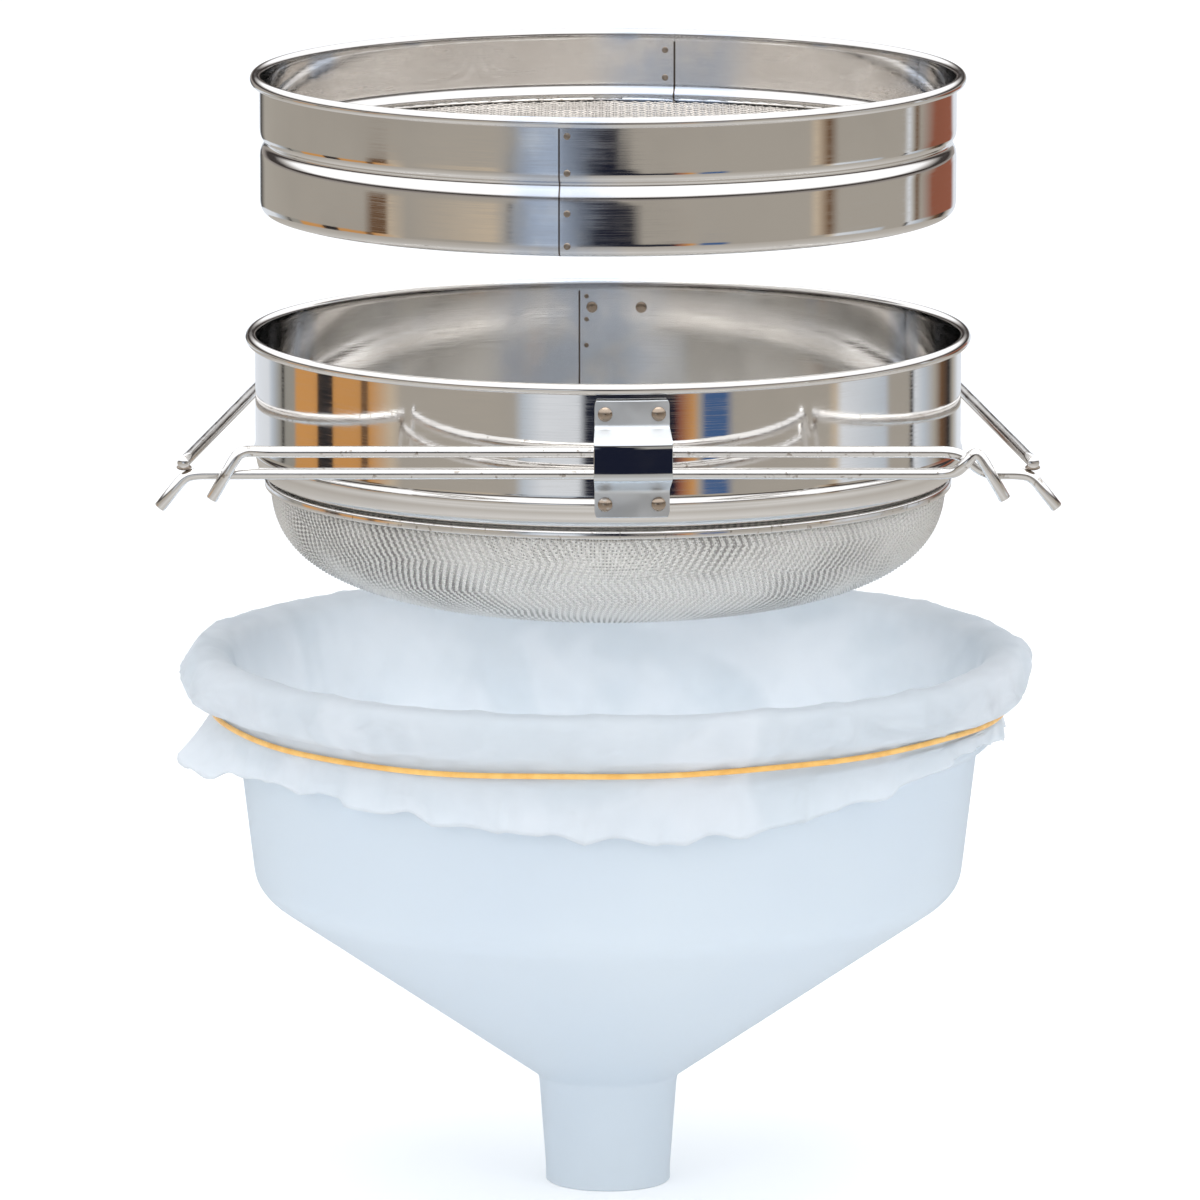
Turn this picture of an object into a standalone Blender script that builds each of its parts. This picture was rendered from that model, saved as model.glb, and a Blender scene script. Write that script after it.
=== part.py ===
"""Double sieve strainer for honey, lifted apart: coarse sieve over fine sieve over a funnel.

Metres, +Z up, -Y front, +X right. The origin is the centre of the spout's end face.
Lengths are written in millimetres and multiplied by MM where Blender takes them. Each sieve's
heights are measured from its own rim, because the whole sieve lifts off.
"""

import math

import bpy
from mathutils import Vector

MM = 0.001
GAP = 0.3  # between touching pieces

# Facets
STEPS = 40  # round the main axis
RIVET_STEPS = 10
BRACKET_STEPS = 4
CURL_STEPS = 5

# Heights of the three tiers
LOWER_RIM_Z = 289.5
UPPER_RIM_Z = 376.0

# Sheet steel and wire
SHEET_T = 0.6
RIM_WIRE_R = 0.9
CURL_R = 1.6  # centreline of the rolled rim
CURL_OPEN_DEG = 60  # the curl stops this far below its outermost point
ROD_R = 1.9

# Funnel
FUNNEL_T = 2.5
LIP_R = 136.2
COLLAR_R = 128.3
SPOUT_END_R = 19.65
SPOUT_TOP_Z = 36.4

# Cloth and its band
CLOTH_T = 1.0
BAG_DEPTH_Z = 112.0
BAND_INNER_R = 132.1
BAND_T = 1.5
BAND_H = 3.0
BAND_Z = 162.7

# Fine sieve
LOWER_WALL_R = 117.3
LOWER_LIP_R = 111.2
FINE_MESH_T = 0.5
FINE_MESH_R = 112.2
BOWL_DEPTH = 91.6

# Coarse sieve
UPPER_WALL_R = 115.4
COARSE_MESH_R = 113.4
COARSE_MESH_T = 0.8
COARSE_MESH_Z = -24.8
HEM_Z = -45.6

# Brackets that guide the rods
BRACKET_T = 0.9
TAB_R = 119.3
CHANNEL_R = 125.35
BRACKET_HALF_DEG = 5.85
FRONT_BRACKET_X = 7.5
REAR_BRACKET_X = 3.0
RIVET_SPREAD_DEG = 4.1
RIVET_Z = (-9.8, -39.3)
RIVET_SHANK_R = 1.2
RIVET_HOLE_R = 1.5
INNER_HEAD_GAP = 0.45  # clears the flats of the faceted wall

# Sliding arms
ROD_Y = 120.8
HOOK_Y = ROD_Y + 2 * ROD_R + GAP
HIGH_ROD_Z = -21.9
LOW_ROD_Z = -29.0
HOOK_TIP = (128.2, -36.8)
FOOT_TIP = (145.2, -40.2)
CROSS_BAR_X = 137.4
CROSS_BAR_Z = -25.2
CROSS_BAR_HALF = 123.2
REAR_INSET = 30.0  # a rear rod is this much shorter at each end, so the cross bars slant


def clear_scene():
    for obj in list(bpy.data.objects):
        bpy.data.objects.remove(obj, do_unlink=True)


def collection(name):
    made = bpy.data.collections.new(name)
    bpy.context.scene.collection.children.link(made)
    return made


def material(name, colour, roughness, metallic=0.0, transmission=0.0):
    made = bpy.data.materials.new(name)
    made.use_nodes = True
    shader = made.node_tree.nodes["Principled BSDF"]
    shader.inputs["Base Color"].default_value = (*colour, 1.0)
    shader.inputs["Roughness"].default_value = roughness
    shader.inputs["Metallic"].default_value = metallic
    shader.inputs["Transmission Weight"].default_value = transmission
    return made


def empty(name, z, parent=None):
    """The origin of a group that moves together."""
    made = bpy.data.objects.new(name, None)
    made.location = (0, 0, z * MM)
    made.parent = parent
    PARTS.objects.link(made)
    return made


def place(obj, finish, parent, into=None):
    (into or PARTS).objects.link(obj)
    obj.parent = parent
    if finish:
        obj.data.materials.append(finish)
    return obj


def profile_object(name, points, closed=False):
    """A profile in the XZ plane at +X, in millimetres, ready for a Screw modifier."""
    count = len(points)
    edges = [(i, i + 1) for i in range(count - 1)]
    if closed:
        edges.append((count - 1, 0))
    mesh = bpy.data.meshes.new(name)
    mesh.from_pydata([(r * MM, 0, z * MM) for r, z in points], edges, [])
    return bpy.data.objects.new(name, mesh)


def screw(obj, angle=math.tau, steps=STEPS):
    turn = obj.modifiers.new("Turn", "SCREW")
    turn.axis = "Z"
    turn.angle = angle
    turn.steps = steps
    turn.render_steps = steps
    turn.use_merge_vertices = angle == math.tau
    turn.merge_threshold = 0.00001
    turn.use_smooth_shade = True


def thicken(obj, thickness):
    shell = obj.modifiers.new("Thickness", "SOLIDIFY")
    shell.thickness = thickness * MM
    shell.offset = 0.0
    shell.use_even_offset = True


def turned_shell(name, centreline, thickness, finish, parent):
    """A sheet of even thickness, turned round the main axis."""
    obj = profile_object(name, centreline)
    screw(obj)
    thicken(obj, thickness)
    return place(obj, finish, parent)


def turned_ring(name, inner_r, outer_r, low_z, high_z, finish, parent):
    """A ring of rectangular section."""
    corners = [(outer_r, high_z), (outer_r, low_z), (inner_r, low_z), (inner_r, high_z)]
    obj = profile_object(name, corners, closed=True)
    screw(obj)
    return place(obj, finish, parent)


def arc(centre, radius, start_deg, end_deg, steps):
    """Points along an arc in the (r, z) plane."""
    turn = [start_deg + (end_deg - start_deg) * i / steps for i in range(steps + 1)]
    angles = [math.radians(t) for t in turn]
    return [(centre[0] + radius * math.cos(a), centre[1] + radius * math.sin(a)) for a in angles]


def rim_centre(wall_r):
    """Centre of the rolled rim: its outside top is at height 0."""
    return wall_r + CURL_R, -(CURL_R + SHEET_T / 2)


def rolled_rim(wall_r):
    """The sheet's curl, from its free edge over the top to the wall."""
    return arc(rim_centre(wall_r), CURL_R, -CURL_OPEN_DEG, 180, CURL_STEPS)


def rim_wire(name, wall_r, finish, parent):
    """The stiffening wire that the rim is rolled over."""
    r, z = rim_centre(wall_r)
    bpy.ops.mesh.primitive_torus_add(
        major_radius=r * MM,
        minor_radius=RIM_WIRE_R * MM,
        major_segments=STEPS,
        minor_segments=6,
        location=(0, 0, z * MM),
    )
    obj = bpy.context.object
    obj.name = name
    bpy.context.collection.objects.unlink(obj)
    return place(obj, finish, parent)


def softened(points, rounds=1):
    """Cuts the corners of a route, keeping its two ends."""
    route = [Vector(p) for p in points]
    for _ in range(rounds):
        cut = [route[0]]
        for a, b in zip(route, route[1:]):
            cut += [a.lerp(b, 0.25), a.lerp(b, 0.75)]
        route = cut + [route[-1]]
    return route


def wire(name, points, finish, parent):
    """A round rod along a route in millimetres, with its ends closed."""
    curve = bpy.data.curves.new(name, "CURVE")
    curve.dimensions = "3D"
    curve.bevel_depth = ROD_R * MM
    curve.bevel_resolution = 2
    curve.use_fill_caps = True
    spline = curve.splines.new("POLY")
    spline.points.add(len(points) - 1)
    for point, where in zip(spline.points, points):
        point.co = (*(Vector(where) * MM), 1.0)
    return place(bpy.data.objects.new(name, curve), finish, parent)


def funnel():
    """One moulding: spout, cone, wall with draft, collar and lip."""
    centreline = [
        (LIP_R, 179.7),
        (COLLAR_R + 1.2, 179.7),
        (COLLAR_R, 178.4),
        (COLLAR_R, 154.6),
        (COLLAR_R - 1.2, 153.0),
        (122.8, 151.2),
        (121.95, 146.0),
        (117.3, 106.5),
        (116.0, 103.2),
        (113.0, 99.8),
        (22.6, SPOUT_TOP_Z + 1.2),
        (21.9, SPOUT_TOP_Z - 1.2),
        (SPOUT_END_R, 5.0),
        (SPOUT_END_R, 0.0),
    ]
    turned_shell("funnel_body", centreline, FUNNEL_T, MILKY_PLASTIC, None)


def filter_cloth():
    """The cloth sags into the mouth, turns over the lip, and hangs below its band as a skirt."""
    centreline = [
        (141.5, 145.0),
        (136.5, 153.0),
        (131.3, 159.5),
        (131.3, 165.5),
        (136.0, 169.5),
        (140.5, 176.0),
        (139.5, 182.6),
        (135.0, 184.5),
        (131.5, 184.0),
        (126.6, 181.6),
        (125.4, 176.0),
        (122.5, 163.0),
        (116.0, 140.0),
        (101.0, 123.5),
        (64.0, 114.0),
        (0.0, BAG_DEPTH_Z),
    ]
    turned_shell("filter_cloth", centreline[::-1], CLOTH_T, NYLON, None)


def elastic_band():
    low, high = BAND_Z - BAND_H / 2, BAND_Z + BAND_H / 2
    turned_ring("elastic_band", BAND_INNER_R, BAND_INNER_R + BAND_T, low, high, ELASTIC, None)


def lower_band(parent):
    """Wall with a rolled rim, a stiffening rib, a shoulder, and a lip that the mesh grips."""
    centreline = rolled_rim(LOWER_WALL_R) + [
        (LOWER_WALL_R, -38.4),
        (LOWER_WALL_R + 0.9, -40.0),
        (LOWER_WALL_R - 0.1, -41.8),
        (LOWER_WALL_R - 0.4, -43.6),
        (LOWER_WALL_R - 1.4, -46.2),
        (114.0, -47.9),
        (LOWER_LIP_R, -48.7),
        (LOWER_LIP_R, -52.6),
    ]
    return turned_shell("lower_band", centreline, SHEET_T, POLISHED_STEEL, parent)


def lower_mesh(parent):
    """The fine mesh bowl and the hoop that clamps it on the band's lip."""
    centreline = [
        (FINE_MESH_R, -49.5),
        (FINE_MESH_R, -53.0),
        (111.2, -60.0),
        (108.4, -67.0),
        (102.5, -74.0),
        (92.0, -80.5),
        (76.0, -85.7),
        (52.0, -89.3),
        (26.0, -91.0),
        (0.0, -BOWL_DEPTH),
    ]
    turned_shell("lower_mesh_bowl", centreline, FINE_MESH_T, MESH_STEEL, parent)
    hoop_r = FINE_MESH_R + FINE_MESH_T / 2 + GAP
    turned_ring("lower_mesh_hoop", hoop_r, 114.6, -51.7, -49.0, POLISHED_STEEL, parent)


def rivet_angles(bracket_deg):
    return bracket_deg - RIVET_SPREAD_DEG, bracket_deg + RIVET_SPREAD_DEG


def radial(obj, angle_deg, radius, z):
    """Stands an object's local Z out from the main axis."""
    turn = math.radians(angle_deg)
    obj.location = (radius * math.cos(turn) * MM, radius * math.sin(turn) * MM, z * MM)
    obj.rotation_euler = (0, math.pi / 2, turn)


def rivet_hole(angle_deg, z, parent):
    bpy.ops.mesh.primitive_cylinder_add(
        vertices=RIVET_STEPS, radius=RIVET_HOLE_R * MM, depth=12 * MM
    )
    obj = bpy.context.object
    obj.name = "rivet_hole"
    obj.hide_render = True
    obj.display_type = "WIRE"
    bpy.context.collection.objects.unlink(obj)
    place(obj, None, parent, CUTTERS)
    radial(obj, angle_deg, LOWER_WALL_R, z)


def rivet(name, angle_deg, z, parent):
    """Domed head outside the bracket, shank, and a low head inside the wall."""
    profile = [
        (0.0, 4.1),
        (1.4, 3.9),
        (2.2, 3.45),
        (2.4, 3.05),
        (RIVET_SHANK_R, 3.05),
        (RIVET_SHANK_R, -INNER_HEAD_GAP),
        (1.9, -INNER_HEAD_GAP),
        (1.7, -0.8),
        (0.0, -0.95),
    ]
    obj = profile_object(name, profile)
    screw(obj, steps=RIVET_STEPS)
    place(obj, WIRE_STEEL, parent)
    radial(obj, angle_deg, LOWER_WALL_R - SHEET_T / 2, z)


def cut_rivet_holes(obj):
    holes = obj.modifiers.new("Rivet holes", "BOOLEAN")
    holes.operation = "DIFFERENCE"
    holes.solver = "EXACT"
    holes.operand_type = "COLLECTION"
    holes.collection = CUTTERS


def bracket(name, centre_deg, parent):
    """A top-hat strip: two tabs on the wall and a channel that the rods run through."""
    section = [
        (TAB_R, -5.6),
        (TAB_R, -14.4),
        (CHANNEL_R, -18.4),
        (CHANNEL_R, -30.4),
        (TAB_R, -34.6),
        (TAB_R, -43.5),
    ]
    obj = profile_object(name, section)
    screw(obj, angle=math.radians(2 * BRACKET_HALF_DEG), steps=BRACKET_STEPS)
    thicken(obj, BRACKET_T)
    place(obj, POLISHED_STEEL, parent)
    obj.rotation_euler.z = math.radians(centre_deg - BRACKET_HALF_DEG)
    return obj


def brackets_and_rivets(band, parent):
    front_deg = -90 + math.degrees(math.asin(FRONT_BRACKET_X / TAB_R))
    rear_deg = 90 - math.degrees(math.asin(REAR_BRACKET_X / TAB_R))
    for side, centre in (("front", front_deg), ("rear", rear_deg)):
        strip = bracket(f"{side}_bracket", centre, parent)
        for row, z in zip(("top", "bottom"), RIVET_Z):
            for i, angle in enumerate(rivet_angles(centre), 1):
                rivet(f"{side}_rivet_{row}_{i}", angle, z, parent)
                rivet_hole(angle, z, parent)
        cut_rivet_holes(strip)
    cut_rivet_holes(band)


def foot(side):
    """The bend down and out at an arm's outer end, from the rod towards its tip."""
    return [
        (side * 133.4, 0, LOW_ROD_Z),
        (side * 137.1, 0, LOW_ROD_Z - 1.0),
        (side * FOOT_TIP[0], 0, FOOT_TIP[1]),
    ]


def hook(side):
    """The free end in front of the other arm's rod, from its top down to the cut tip."""
    out = HOOK_Y - ROD_Y
    return [(side * 120.2, out, HIGH_ROD_Z - 0.9), (side * HOOK_TIP[0], out, HOOK_TIP[1])]


def left_arm_route():
    """Low rod: foot at the left, hook at the right."""
    out = HOOK_Y - ROD_Y
    rise = [
        (107.5, 0, LOW_ROD_Z),
        (112.2, out * 0.45, LOW_ROD_Z + 0.7),
        (115.0, out, LOW_ROD_Z + 3.6),
        (118.2, out, HIGH_ROD_Z + 0.5),
    ]
    return foot(-1)[::-1] + rise + hook(1)


def right_arm_route():
    """High rod: foot at the right, below a jog down to the left arm's level, hook at the left."""
    out = HOOK_Y - ROD_Y
    jog = [
        (124.5, 0, LOW_ROD_Z),
        (120.5, 0, LOW_ROD_Z + 0.9),
        (114.0, 0, HIGH_ROD_Z - 0.9),
        (109.5, 0, HIGH_ROD_Z),
    ]
    turn = [
        (-110.5, 0, HIGH_ROD_Z),
        (-115.4, out * 0.25, HIGH_ROD_Z + 0.4),
        (-118.6, out * 0.85, HIGH_ROD_Z + 0.6),
    ]
    return foot(1)[::-1] + jog + turn + hook(-1)


def arm(name, side, route, parent):
    """A frame of two rods, the rear one shorter, joined by a cross bar that lies on them."""
    frame = empty(f"{name}_slide", 0, parent)
    for end, sign, inset in (("front", -1, 0.0), ("rear", 1, REAR_INSET)):
        points = [
            (x - math.copysign(inset, x), sign * (ROD_Y + out), z) for x, out, z in softened(route)
        ]
        wire(f"{name}_{end}_rod", points, WIRE_STEEL, frame)
    ends = [
        (side * CROSS_BAR_X, -CROSS_BAR_HALF, CROSS_BAR_Z),
        (side * (CROSS_BAR_X - REAR_INSET), CROSS_BAR_HALF, CROSS_BAR_Z),
    ]
    wire(f"{name}_cross_bar", ends, WIRE_STEEL, frame)


def fine_sieve():
    lift = empty("lower_sieve_lift", LOWER_RIM_Z)
    band = lower_band(lift)
    rim_wire("lower_rim_wire", LOWER_WALL_R, WIRE_STEEL, lift)
    lower_mesh(lift)
    brackets_and_rivets(band, lift)
    arm("left_arm", -1, left_arm_route(), lift)
    arm("right_arm", 1, right_arm_route(), lift)
    return lift


def upper_band(parent):
    """Wall with a rolled rim, a groove that holds the mesh, and a hem turned inwards."""
    centreline = rolled_rim(UPPER_WALL_R) + [
        (UPPER_WALL_R, -20.6),
        (UPPER_WALL_R - 1.4, -21.8),
        (UPPER_WALL_R - 1.5, -23.2),
        (UPPER_WALL_R - 0.5, -26.0),
        (UPPER_WALL_R, -28.6),
        (UPPER_WALL_R, HEM_Z + 2.1),
        (UPPER_WALL_R - 0.6, HEM_Z + 0.6),
        (UPPER_WALL_R - 1.7, HEM_Z),
        (UPPER_WALL_R - 2.4, HEM_Z + 1.0),
    ]
    turned_shell("upper_band", centreline, SHEET_T, POLISHED_STEEL, parent)


def coarse_mesh(parent):
    """A flat disc of coarse mesh under the groove, and the hoop that holds it there."""
    bpy.ops.mesh.primitive_cylinder_add(
        vertices=STEPS,
        radius=COARSE_MESH_R * MM,
        depth=COARSE_MESH_T * MM,
        location=(0, 0, COARSE_MESH_Z * MM),
    )
    disc = bpy.context.object
    disc.name = "upper_mesh_disc"
    bpy.context.collection.objects.unlink(disc)
    place(disc, MESH_STEEL, parent)
    top = COARSE_MESH_Z - COARSE_MESH_T / 2 - GAP
    turned_ring("upper_mesh_hoop", 110.8, COARSE_MESH_R + 0.4, top - 2.6, top, WIRE_STEEL, parent)


def coarse_sieve():
    lift = empty("upper_sieve_lift", UPPER_RIM_Z)
    upper_band(lift)
    rim_wire("upper_rim_wire", UPPER_WALL_R, WIRE_STEEL, lift)
    coarse_mesh(lift)


clear_scene()
PARTS = collection("double_sieve_strainer")
CUTTERS = collection("cutters")
POLISHED_STEEL = material("polished_steel", (0.62, 0.60, 0.57), 0.12, metallic=1.0)
WIRE_STEEL = material("wire_steel", (0.66, 0.65, 0.63), 0.18, metallic=1.0)
MESH_STEEL = material("mesh_steel", (0.55, 0.54, 0.52), 0.35, metallic=1.0)
MILKY_PLASTIC = material("milky_plastic", (0.80, 0.87, 0.93), 0.35, transmission=0.4)
NYLON = material("nylon_cloth", (0.88, 0.92, 0.96), 0.6, transmission=0.3)
ELASTIC = material("elastic", (0.86, 0.55, 0.18), 0.55)
funnel()
filter_cloth()
elastic_band()
fine_sieve()
coarse_sieve()
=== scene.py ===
"""Looks of the double sieve strainer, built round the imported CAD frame.

Metres, +Z up, -Y front, +X right, as in the frame. Lengths are written in millimetres and
multiplied by MM where Blender takes them. Heights of a sieve are measured from its own rim.
"""

import math

import bpy
import numpy as np
from mathutils import Matrix, Vector, noise

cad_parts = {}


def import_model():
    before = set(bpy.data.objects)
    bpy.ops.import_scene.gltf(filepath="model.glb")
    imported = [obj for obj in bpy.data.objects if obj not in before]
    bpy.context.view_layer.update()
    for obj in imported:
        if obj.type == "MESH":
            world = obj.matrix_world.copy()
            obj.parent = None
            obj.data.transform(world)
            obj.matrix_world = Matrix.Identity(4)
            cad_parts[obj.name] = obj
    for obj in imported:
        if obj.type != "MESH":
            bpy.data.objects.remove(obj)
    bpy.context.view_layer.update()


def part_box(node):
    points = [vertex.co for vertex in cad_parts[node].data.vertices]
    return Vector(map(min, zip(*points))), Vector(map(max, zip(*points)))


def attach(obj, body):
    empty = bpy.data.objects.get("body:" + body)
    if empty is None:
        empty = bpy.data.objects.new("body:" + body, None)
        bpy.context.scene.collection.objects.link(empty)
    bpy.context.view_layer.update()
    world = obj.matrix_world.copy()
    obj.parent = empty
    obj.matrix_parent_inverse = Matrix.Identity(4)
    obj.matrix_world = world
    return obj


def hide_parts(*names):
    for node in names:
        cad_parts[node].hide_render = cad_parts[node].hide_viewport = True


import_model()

MM = 0.001
FINE = 256  # columns round the main axis

# Sheet steel and wire
SHEET_T = 0.6
CURL_R = 1.6
CURL_OPEN_DEG = 60
RIM_WIRE_R = 0.9
ROD_R = 1.9
HEM_Z = -45.6

# Meshes
COARSE_PITCH = 2.3
COARSE_WIRE_R = 0.28
FINE_PITCH = 1.15
FINE_WIRE_R = 0.3

# Camera
CAMERA_DISTANCE = 3.8
CAMERA_HEIGHT = 0.86
AIM_HEIGHT = 0.198
LENS = 346.0


def corner(node, which):
    """The low (0) or high (1) corner of a CAD node, in millimetres."""
    return Vector(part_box(node)[which]) / MM


def corners(node):
    return corner(node, 0), corner(node, 1)


LOWER_RIM_Z = corner("lower_band", 1).z
UPPER_RIM_Z = corner("upper_band", 1).z
RIM_REACH = 2 * CURL_R + SHEET_T / 2  # from a wall's middle to the outside of its rim
LOWER_WALL_R = corner("lower_band", 1).x - RIM_REACH
UPPER_WALL_R = corner("upper_band", 1).x - RIM_REACH


# ---- camera, light and stage


def placed(name, data):
    """A new object in the scene."""
    obj = bpy.data.objects.new(name, data)
    bpy.context.scene.collection.objects.link(obj)
    return obj


def camera():
    data = bpy.data.cameras.new("camera")
    data.lens = LENS
    data.sensor_width = 36.0
    data.clip_start = 0.1
    data.clip_end = 100.0
    obj = placed("camera", data)
    aim = Vector((-0.0027, 0.0, AIM_HEIGHT))
    obj.location = (aim.x, -CAMERA_DISTANCE, CAMERA_HEIGHT)
    obj.rotation_euler = (aim - obj.location).to_track_quat("-Z", "Y").to_euler()
    bpy.context.scene.camera = obj


def area_light(name, location, target, size, power, colour=(1, 1, 1), seen_in_metal=True):
    data = bpy.data.lights.new(name, "AREA")
    data.shape = "RECTANGLE"
    data.size, data.size_y = size
    data.energy = power
    data.color = colour
    obj = placed(name, data)
    obj.location = location
    obj.rotation_euler = (Vector(target) - Vector(location)).to_track_quat("-Z", "Y").to_euler()
    obj.visible_camera = False
    obj.visible_glossy = seen_in_metal
    return obj


# What stands round the object, as (degrees from the front towards +X, colour). The polished
# steel mirrors it: pale panels, ochre cards with dark gaps, and a dark doorway in front.
PALE = (0.80, 0.84, 0.90)
COOL = (0.56, 0.62, 0.70)
GREY = (0.34, 0.33, 0.30)
WARM = (0.43, 0.40, 0.355)
SAND = (0.62, 0.52, 0.40)
OCHRE = (0.66, 0.33, 0.11)
RUST = (0.30, 0.11, 0.07)
BROWN = (0.16, 0.09, 0.05)
NAVY = (0.012, 0.014, 0.028)
BLUE = (0.06, 0.13, 0.30)
DARK = (0.03, 0.028, 0.03)
FLOOR_NEAR = (0.50, 0.47, 0.43)
FLOOR_FAR = (0.80, 0.79, 0.78)

# Seen in the fine sieve
LOW_CARDS = [
    (-180, PALE), (-141, PALE), (-137, COOL), (-129, GREY), (-127, DARK), (-125, GREY),
    (-119, GREY), (-117, OCHRE), (-105, OCHRE), (-104, DARK), (-97, DARK), (-96, OCHRE),
    (-84, OCHRE), (-83, BROWN), (-81, BROWN), (-80, OCHRE), (-71, SAND), (-67, WARM), (-29, WARM),
    (-26, COOL), (-20, PALE), (-9, PALE), (-6.5, NAVY), (20, NAVY), (22, RUST), (26, OCHRE),
    (28, WARM), (30, BLUE), (36, BLUE), (39, WARM), (72, WARM), (75, SAND), (78, PALE), (97, COOL),
    (100, WARM), (110, WARM), (112, DARK), (114, PALE), (120, COOL), (128, WARM), (134, BROWN),
    (142, DARK), (147, WARM), (156, PALE), (180, PALE),
]

# Seen in the coarse sieve, at the bottom and at the top of the cards. The two have the same
# number of entries, because cards() also mixes them pair by pair.
HIGH_LEFT = [(-180, PALE), (-168, PALE), (-162, DARK), (-152, WARM), (-84, WARM)]
HIGH_RIGHT = [
    (66, WARM), (69, SAND), (74, BROWN), (78, WARM), (110, WARM), (113, PALE), (116, WARM),
    (118, BROWN), (121, WARM),
]
HIGH_CARDS_BOTTOM = HIGH_LEFT + [
    (-80, BROWN), (-75, BROWN), (-73, SAND), (-66, WARM), (-36, SAND), (-32, WARM), (-30.5, NAVY),
    (-28.5, COOL), (-26.5, DARK), (-24, COOL), (-10, COOL), (-2, NAVY), (7, NAVY), (11, WARM),
] + HIGH_RIGHT + [(130, RUST), (152, RUST), (158, PALE), (180, PALE)]
HIGH_CARDS_TOP = HIGH_LEFT + [(a, WARM) for a in (-80, -75, -73, -66, -36, -32, -30.5, -28.5)] + [
    (-26.5, COOL), (-24, COOL), (-11, COOL), (-9, NAVY), (2, NAVY), (4, WARM),
] + HIGH_RIGHT + [(134, RUST), (150, RUST), (156, PALE), (180, PALE)]


def cards():
    """A wide ring of coloured cards round the object that only mirrors see."""
    radius, count = 1.1, 720
    angles = np.linspace(-180, 180, count + 1)
    leaning = [(a[0] * 0.55 + b[0] * 0.45, b[1]) for a, b in zip(HIGH_CARDS_BOTTOM, HIGH_CARDS_TOP)]
    rows = [
        (-0.9, [(-180, FLOOR_FAR), (180, FLOOR_FAR)]),
        (0.055, [(-180, FLOOR_NEAR), (180, FLOOR_NEAR)]), (0.068, LOW_CARDS), (0.150, LOW_CARDS),
        (0.156, HIGH_CARDS_BOTTOM), (0.213, HIGH_CARDS_BOTTOM), (0.217, leaning),
        (0.245, HIGH_CARDS_TOP), (0.30, HIGH_CARDS_TOP),
    ]
    points, colours = [], []
    for z, stops in rows:
        where = [stop[0] for stop in stops]
        mixed = [np.interp(angles, where, [stop[1][k] for stop in stops]) for k in range(3)]
        for angle, colour in zip(np.radians(angles), np.transpose(mixed)):
            points.append((radius * math.sin(angle), -radius * math.cos(angle), z))
            colours.append((*colour, 1.0))
    wide = count + 1
    faces = [
        (r * wide + k, r * wide + k + 1, (r + 1) * wide + k + 1, (r + 1) * wide + k)
        for r in range(len(rows) - 1)
        for k in range(count)
    ]
    mesh = bpy.data.meshes.new("cards")
    mesh.from_pydata(points, [], faces)
    layer = mesh.color_attributes.new("card", "FLOAT_COLOR", "POINT")
    layer.data.foreach_set("color", np.array(colours, np.float32).ravel())
    obj = placed("cards", mesh)
    for ray in ("camera", "diffuse", "transmission", "volume_scatter", "shadow"):
        setattr(obj, f"visible_{ray}", False)
    made = bpy.data.materials.new("cards")
    made.use_nodes = True
    made.cycles.emission_sampling = "NONE"
    nodes, links = made.node_tree.nodes, made.node_tree.links
    nodes.clear()
    colour = nodes.new("ShaderNodeVertexColor")
    colour.layer_name = "card"
    glow = nodes.new("ShaderNodeEmission")
    out = nodes.new("ShaderNodeOutputMaterial")
    links.new(colour.outputs["Color"], glow.inputs["Color"])
    links.new(glow.outputs[0], out.inputs["Surface"])
    mesh.materials.append(made)


def world():
    """White for the eye and for soft light; darker above the cards for what the metal mirrors."""
    made = bpy.data.worlds.new("studio")
    made.use_nodes = True
    bpy.context.scene.world = made
    nodes, links = made.node_tree.nodes, made.node_tree.links
    nodes.clear()
    direction = nodes.new("ShaderNodeTexCoord")
    split = nodes.new("ShaderNodeSeparateXYZ")
    links.new(direction.outputs["Generated"], split.inputs[0])
    height = nodes.new("ShaderNodeMath")
    height.operation = "MULTIPLY_ADD"
    height.inputs[1].default_value = height.inputs[2].default_value = 0.5
    links.new(split.outputs["Z"], height.inputs[0])

    stops = [
        (-1.0, (0.62, 0.60, 0.57)), (-0.5, (0.80, 0.79, 0.78)), (0.01, (0.32, 0.29, 0.27)),
        (0.06, (0.05, 0.042, 0.04)), (0.14, (0.06, 0.052, 0.05)), (0.20, (0.55, 0.53, 0.52)),
        (0.27, (1.30, 1.32, 1.36)), (1.0, (1.5, 1.5, 1.5)),
    ]
    mirrored_colour = nodes.new("ShaderNodeValToRGB")
    points = mirrored_colour.color_ramp.elements
    while len(points) < len(stops):
        points.new(0.5)
    for point, (z, colour) in zip(points, stops):
        point.position = 0.5 + 0.5 * z
        point.color = (*colour, 1.0)
    links.new(height.outputs[0], mirrored_colour.inputs[0])

    mirrored = nodes.new("ShaderNodeBackground")
    links.new(mirrored_colour.outputs[0], mirrored.inputs["Color"])
    plain = nodes.new("ShaderNodeBackground")
    plain.inputs["Color"].default_value = (0.94, 0.965, 1.0, 1.0)
    plain.inputs["Strength"].default_value = 0.88
    ray = nodes.new("ShaderNodeLightPath")
    choose = nodes.new("ShaderNodeMixShader")
    links.new(ray.outputs["Is Glossy Ray"], choose.inputs["Fac"])
    links.new(plain.outputs[0], choose.inputs[1])
    links.new(mirrored.outputs[0], choose.inputs[2])
    out = nodes.new("ShaderNodeOutputWorld")
    links.new(choose.outputs[0], out.inputs["Surface"])


def stage():
    """A pale floor that runs back past the view. The metal doesn't mirror it."""
    mesh = bpy.data.meshes.new("floor")
    mesh.from_pydata([(-12, -8, 0), (12, -8, 0), (12, 20, 0), (-12, 20, 0)], [], [(0, 1, 2, 3)])
    floor = placed("floor", mesh)
    floor.visible_glossy = False
    white = Finish("floor_white", (0.93, 0.93, 0.93), 0.9, Specular_IOR_Level=0.0)
    white.set("Emission Color", (1, 1, 1, 1))
    white.set("Emission Strength", 0.22)
    mesh.materials.append(white.material)


# ---- shapes


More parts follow.
